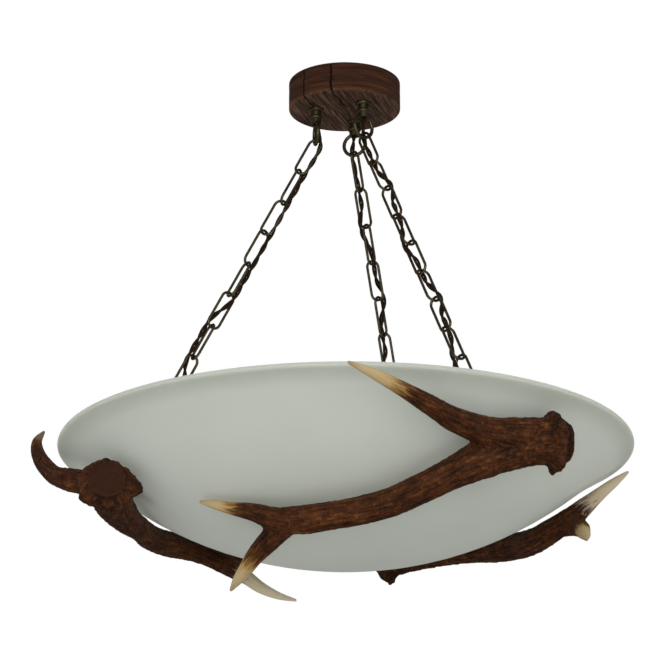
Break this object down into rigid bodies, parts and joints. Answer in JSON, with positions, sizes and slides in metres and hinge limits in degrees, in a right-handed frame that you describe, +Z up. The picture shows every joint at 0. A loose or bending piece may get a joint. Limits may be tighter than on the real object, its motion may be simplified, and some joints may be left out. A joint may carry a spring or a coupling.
{
  "type": "chain-hung bowl ceiling light",
  "caption": "Semi-flush ceiling light: frosted glass bowl ringed with cast antlers, hung on chains from a turned wooden ceiling rose, with lamps inside the bowl.",
  "frame": {"origin": "middle of the wooden rose's top, on the ceiling plane, where the strap's fixing slots are centred", "axes": "+Z up into the ceiling; -Y is the side the picture was taken from; +X is the picture's right"},
  "size_m": [0.5277, 0.5333, 0.4821],
  "materials": {
    "rose_wood": "dark stained, worn lower edge",
    "zinc_steel": "zinc plated",
    "antique_brass": "dark antique brass",
    "terminal_plastic": "moulded, matt",
    "brown_flex": "brown braid, twisted pair",
    "frosted_glass": "acid frosted, grey white",
    "antler_resin": "cast and hand painted, brown with ivory tips",
    "grey_rubber": "matt",
    "holder_plastic": "moulded black",
    "opal_glass": "opal lamp"
  },
  "bodies": {
    "ceiling": {"ceiling_rose": "rose_wood", "ceiling_strap": "zinc_steel", "rose_side_screws": "zinc_steel", "terminal_block": "terminal_plastic", "terminal_screws": "antique_brass", "loop_washers": "antique_brass", "loop_nuts": "antique_brass", "left_loop": "antique_brass", "front_loop": "antique_brass", "rear_loop": "antique_brass", "left_flex_stub": "brown_flex", "front_flex_stub": "brown_flex", "rear_flex_stub": "brown_flex"},
    "left_hanger": {"left_top_link": "antique_brass", "left_flex_upper": "brown_flex"},
    "left_run": {"left_chain": "antique_brass", "left_flex": "brown_flex"},
    "front_hanger": {"front_top_link": "antique_brass", "front_flex_upper": "brown_flex"},
    "front_run": {"front_chain": "antique_brass", "front_flex": "brown_flex"},
    "rear_hanger": {"rear_top_link": "antique_brass", "rear_flex_upper": "brown_flex"},
    "rear_run": {"rear_chain": "antique_brass", "rear_flex": "brown_flex"},
    "front_carrier": {"front_bottom_link": "antique_brass"},
    "bowl": {"glass_bowl": "frosted_glass", "bolt_washers": "zinc_steel", "bolt_inner_pads": "grey_rubber", "bolt_outer_pads": "grey_rubber", "lamp_nuts": "antique_brass", "left_antler": "antler_resin", "left_eye_bolt": "antique_brass", "left_lamp_bracket": "zinc_steel", "left_lampholder": "holder_plastic", "left_bulb": "opal_glass", "front_antler": "antler_resin", "front_eye_bolt": "antique_brass", "front_lamp_bracket": "zinc_steel", "front_lampholder": "holder_plastic", "front_bulb": "opal_glass", "rear_antler": "antler_resin", "rear_eye_bolt": "antique_brass", "rear_lamp_bracket": "zinc_steel", "rear_lampholder": "holder_plastic", "rear_bulb": "opal_glass"}
  },
  "joints": [
    {"name": "front_sway_x", "type": "hinge", "parent": "ceiling", "child": "front_hanger", "pos_m": [0.01619, -0.0193, -0.05845], "axis": [1, 0, 0], "range_deg": [-8, 8]},
    {"name": "front_sway_y", "type": "hinge", "parent": "front_hanger", "child": "front_run", "pos_m": [0.02613, -0.03114, -0.08816], "axis": [0, 1, 0], "range_deg": [-8, 8]},
    {"name": "carrier_level_y", "type": "hinge", "parent": "front_run", "child": "front_carrier", "pos_m": [0.10566, -0.12592, -0.3259], "axis": [0, 1, 0], "range_deg": [-2.18, 2.18]},
    {"name": "bowl_level_x", "type": "hinge", "parent": "front_carrier", "child": "bowl", "pos_m": [0.1154, -0.13753, -0.35504], "axis": [1, 0, 0], "range_deg": [-1.32, 1.32]},
    {"name": "left_sway_x", "type": "hinge", "parent": "ceiling", "child": "left_hanger", "pos_m": [-0.02481, -0.00438, -0.05845], "axis": [1, 0, 0], "range_deg": [-8.2, 8.2]},
    {"name": "left_sway_y", "type": "hinge", "parent": "left_hanger", "child": "left_run", "pos_m": [-0.04004, -0.00706, -0.08816], "axis": [0, 1, 0], "range_deg": [-8.2, 8.2]},
    {"name": "rear_sway_x", "type": "hinge", "parent": "ceiling", "child": "rear_hanger", "pos_m": [0.00862, 0.02367, -0.05845], "axis": [1, 0, 0], "range_deg": [-8.2, 8.2]},
    {"name": "rear_sway_y", "type": "hinge", "parent": "rear_hanger", "child": "rear_run", "pos_m": [0.01391, 0.03821, -0.08816], "axis": [0, 1, 0], "range_deg": [-8.2, 8.2]}
  ],
  "couplings": [
    {"joint": "carrier_level_y", "follows": "front_sway_y", "ratio": -0.24734},
    {"joint": "bowl_level_x", "follows": "front_sway_x", "ratio": -0.14032},
    {"joint": "left_sway_x", "follows": "front_sway_x", "ratio": 1},
    {"joint": "left_sway_y", "follows": "front_sway_y", "ratio": 0.97299},
    {"joint": "rear_sway_x", "follows": "front_sway_x", "ratio": 1},
    {"joint": "rear_sway_y", "follows": "front_sway_y", "ratio": 0.97299}
  ]
}
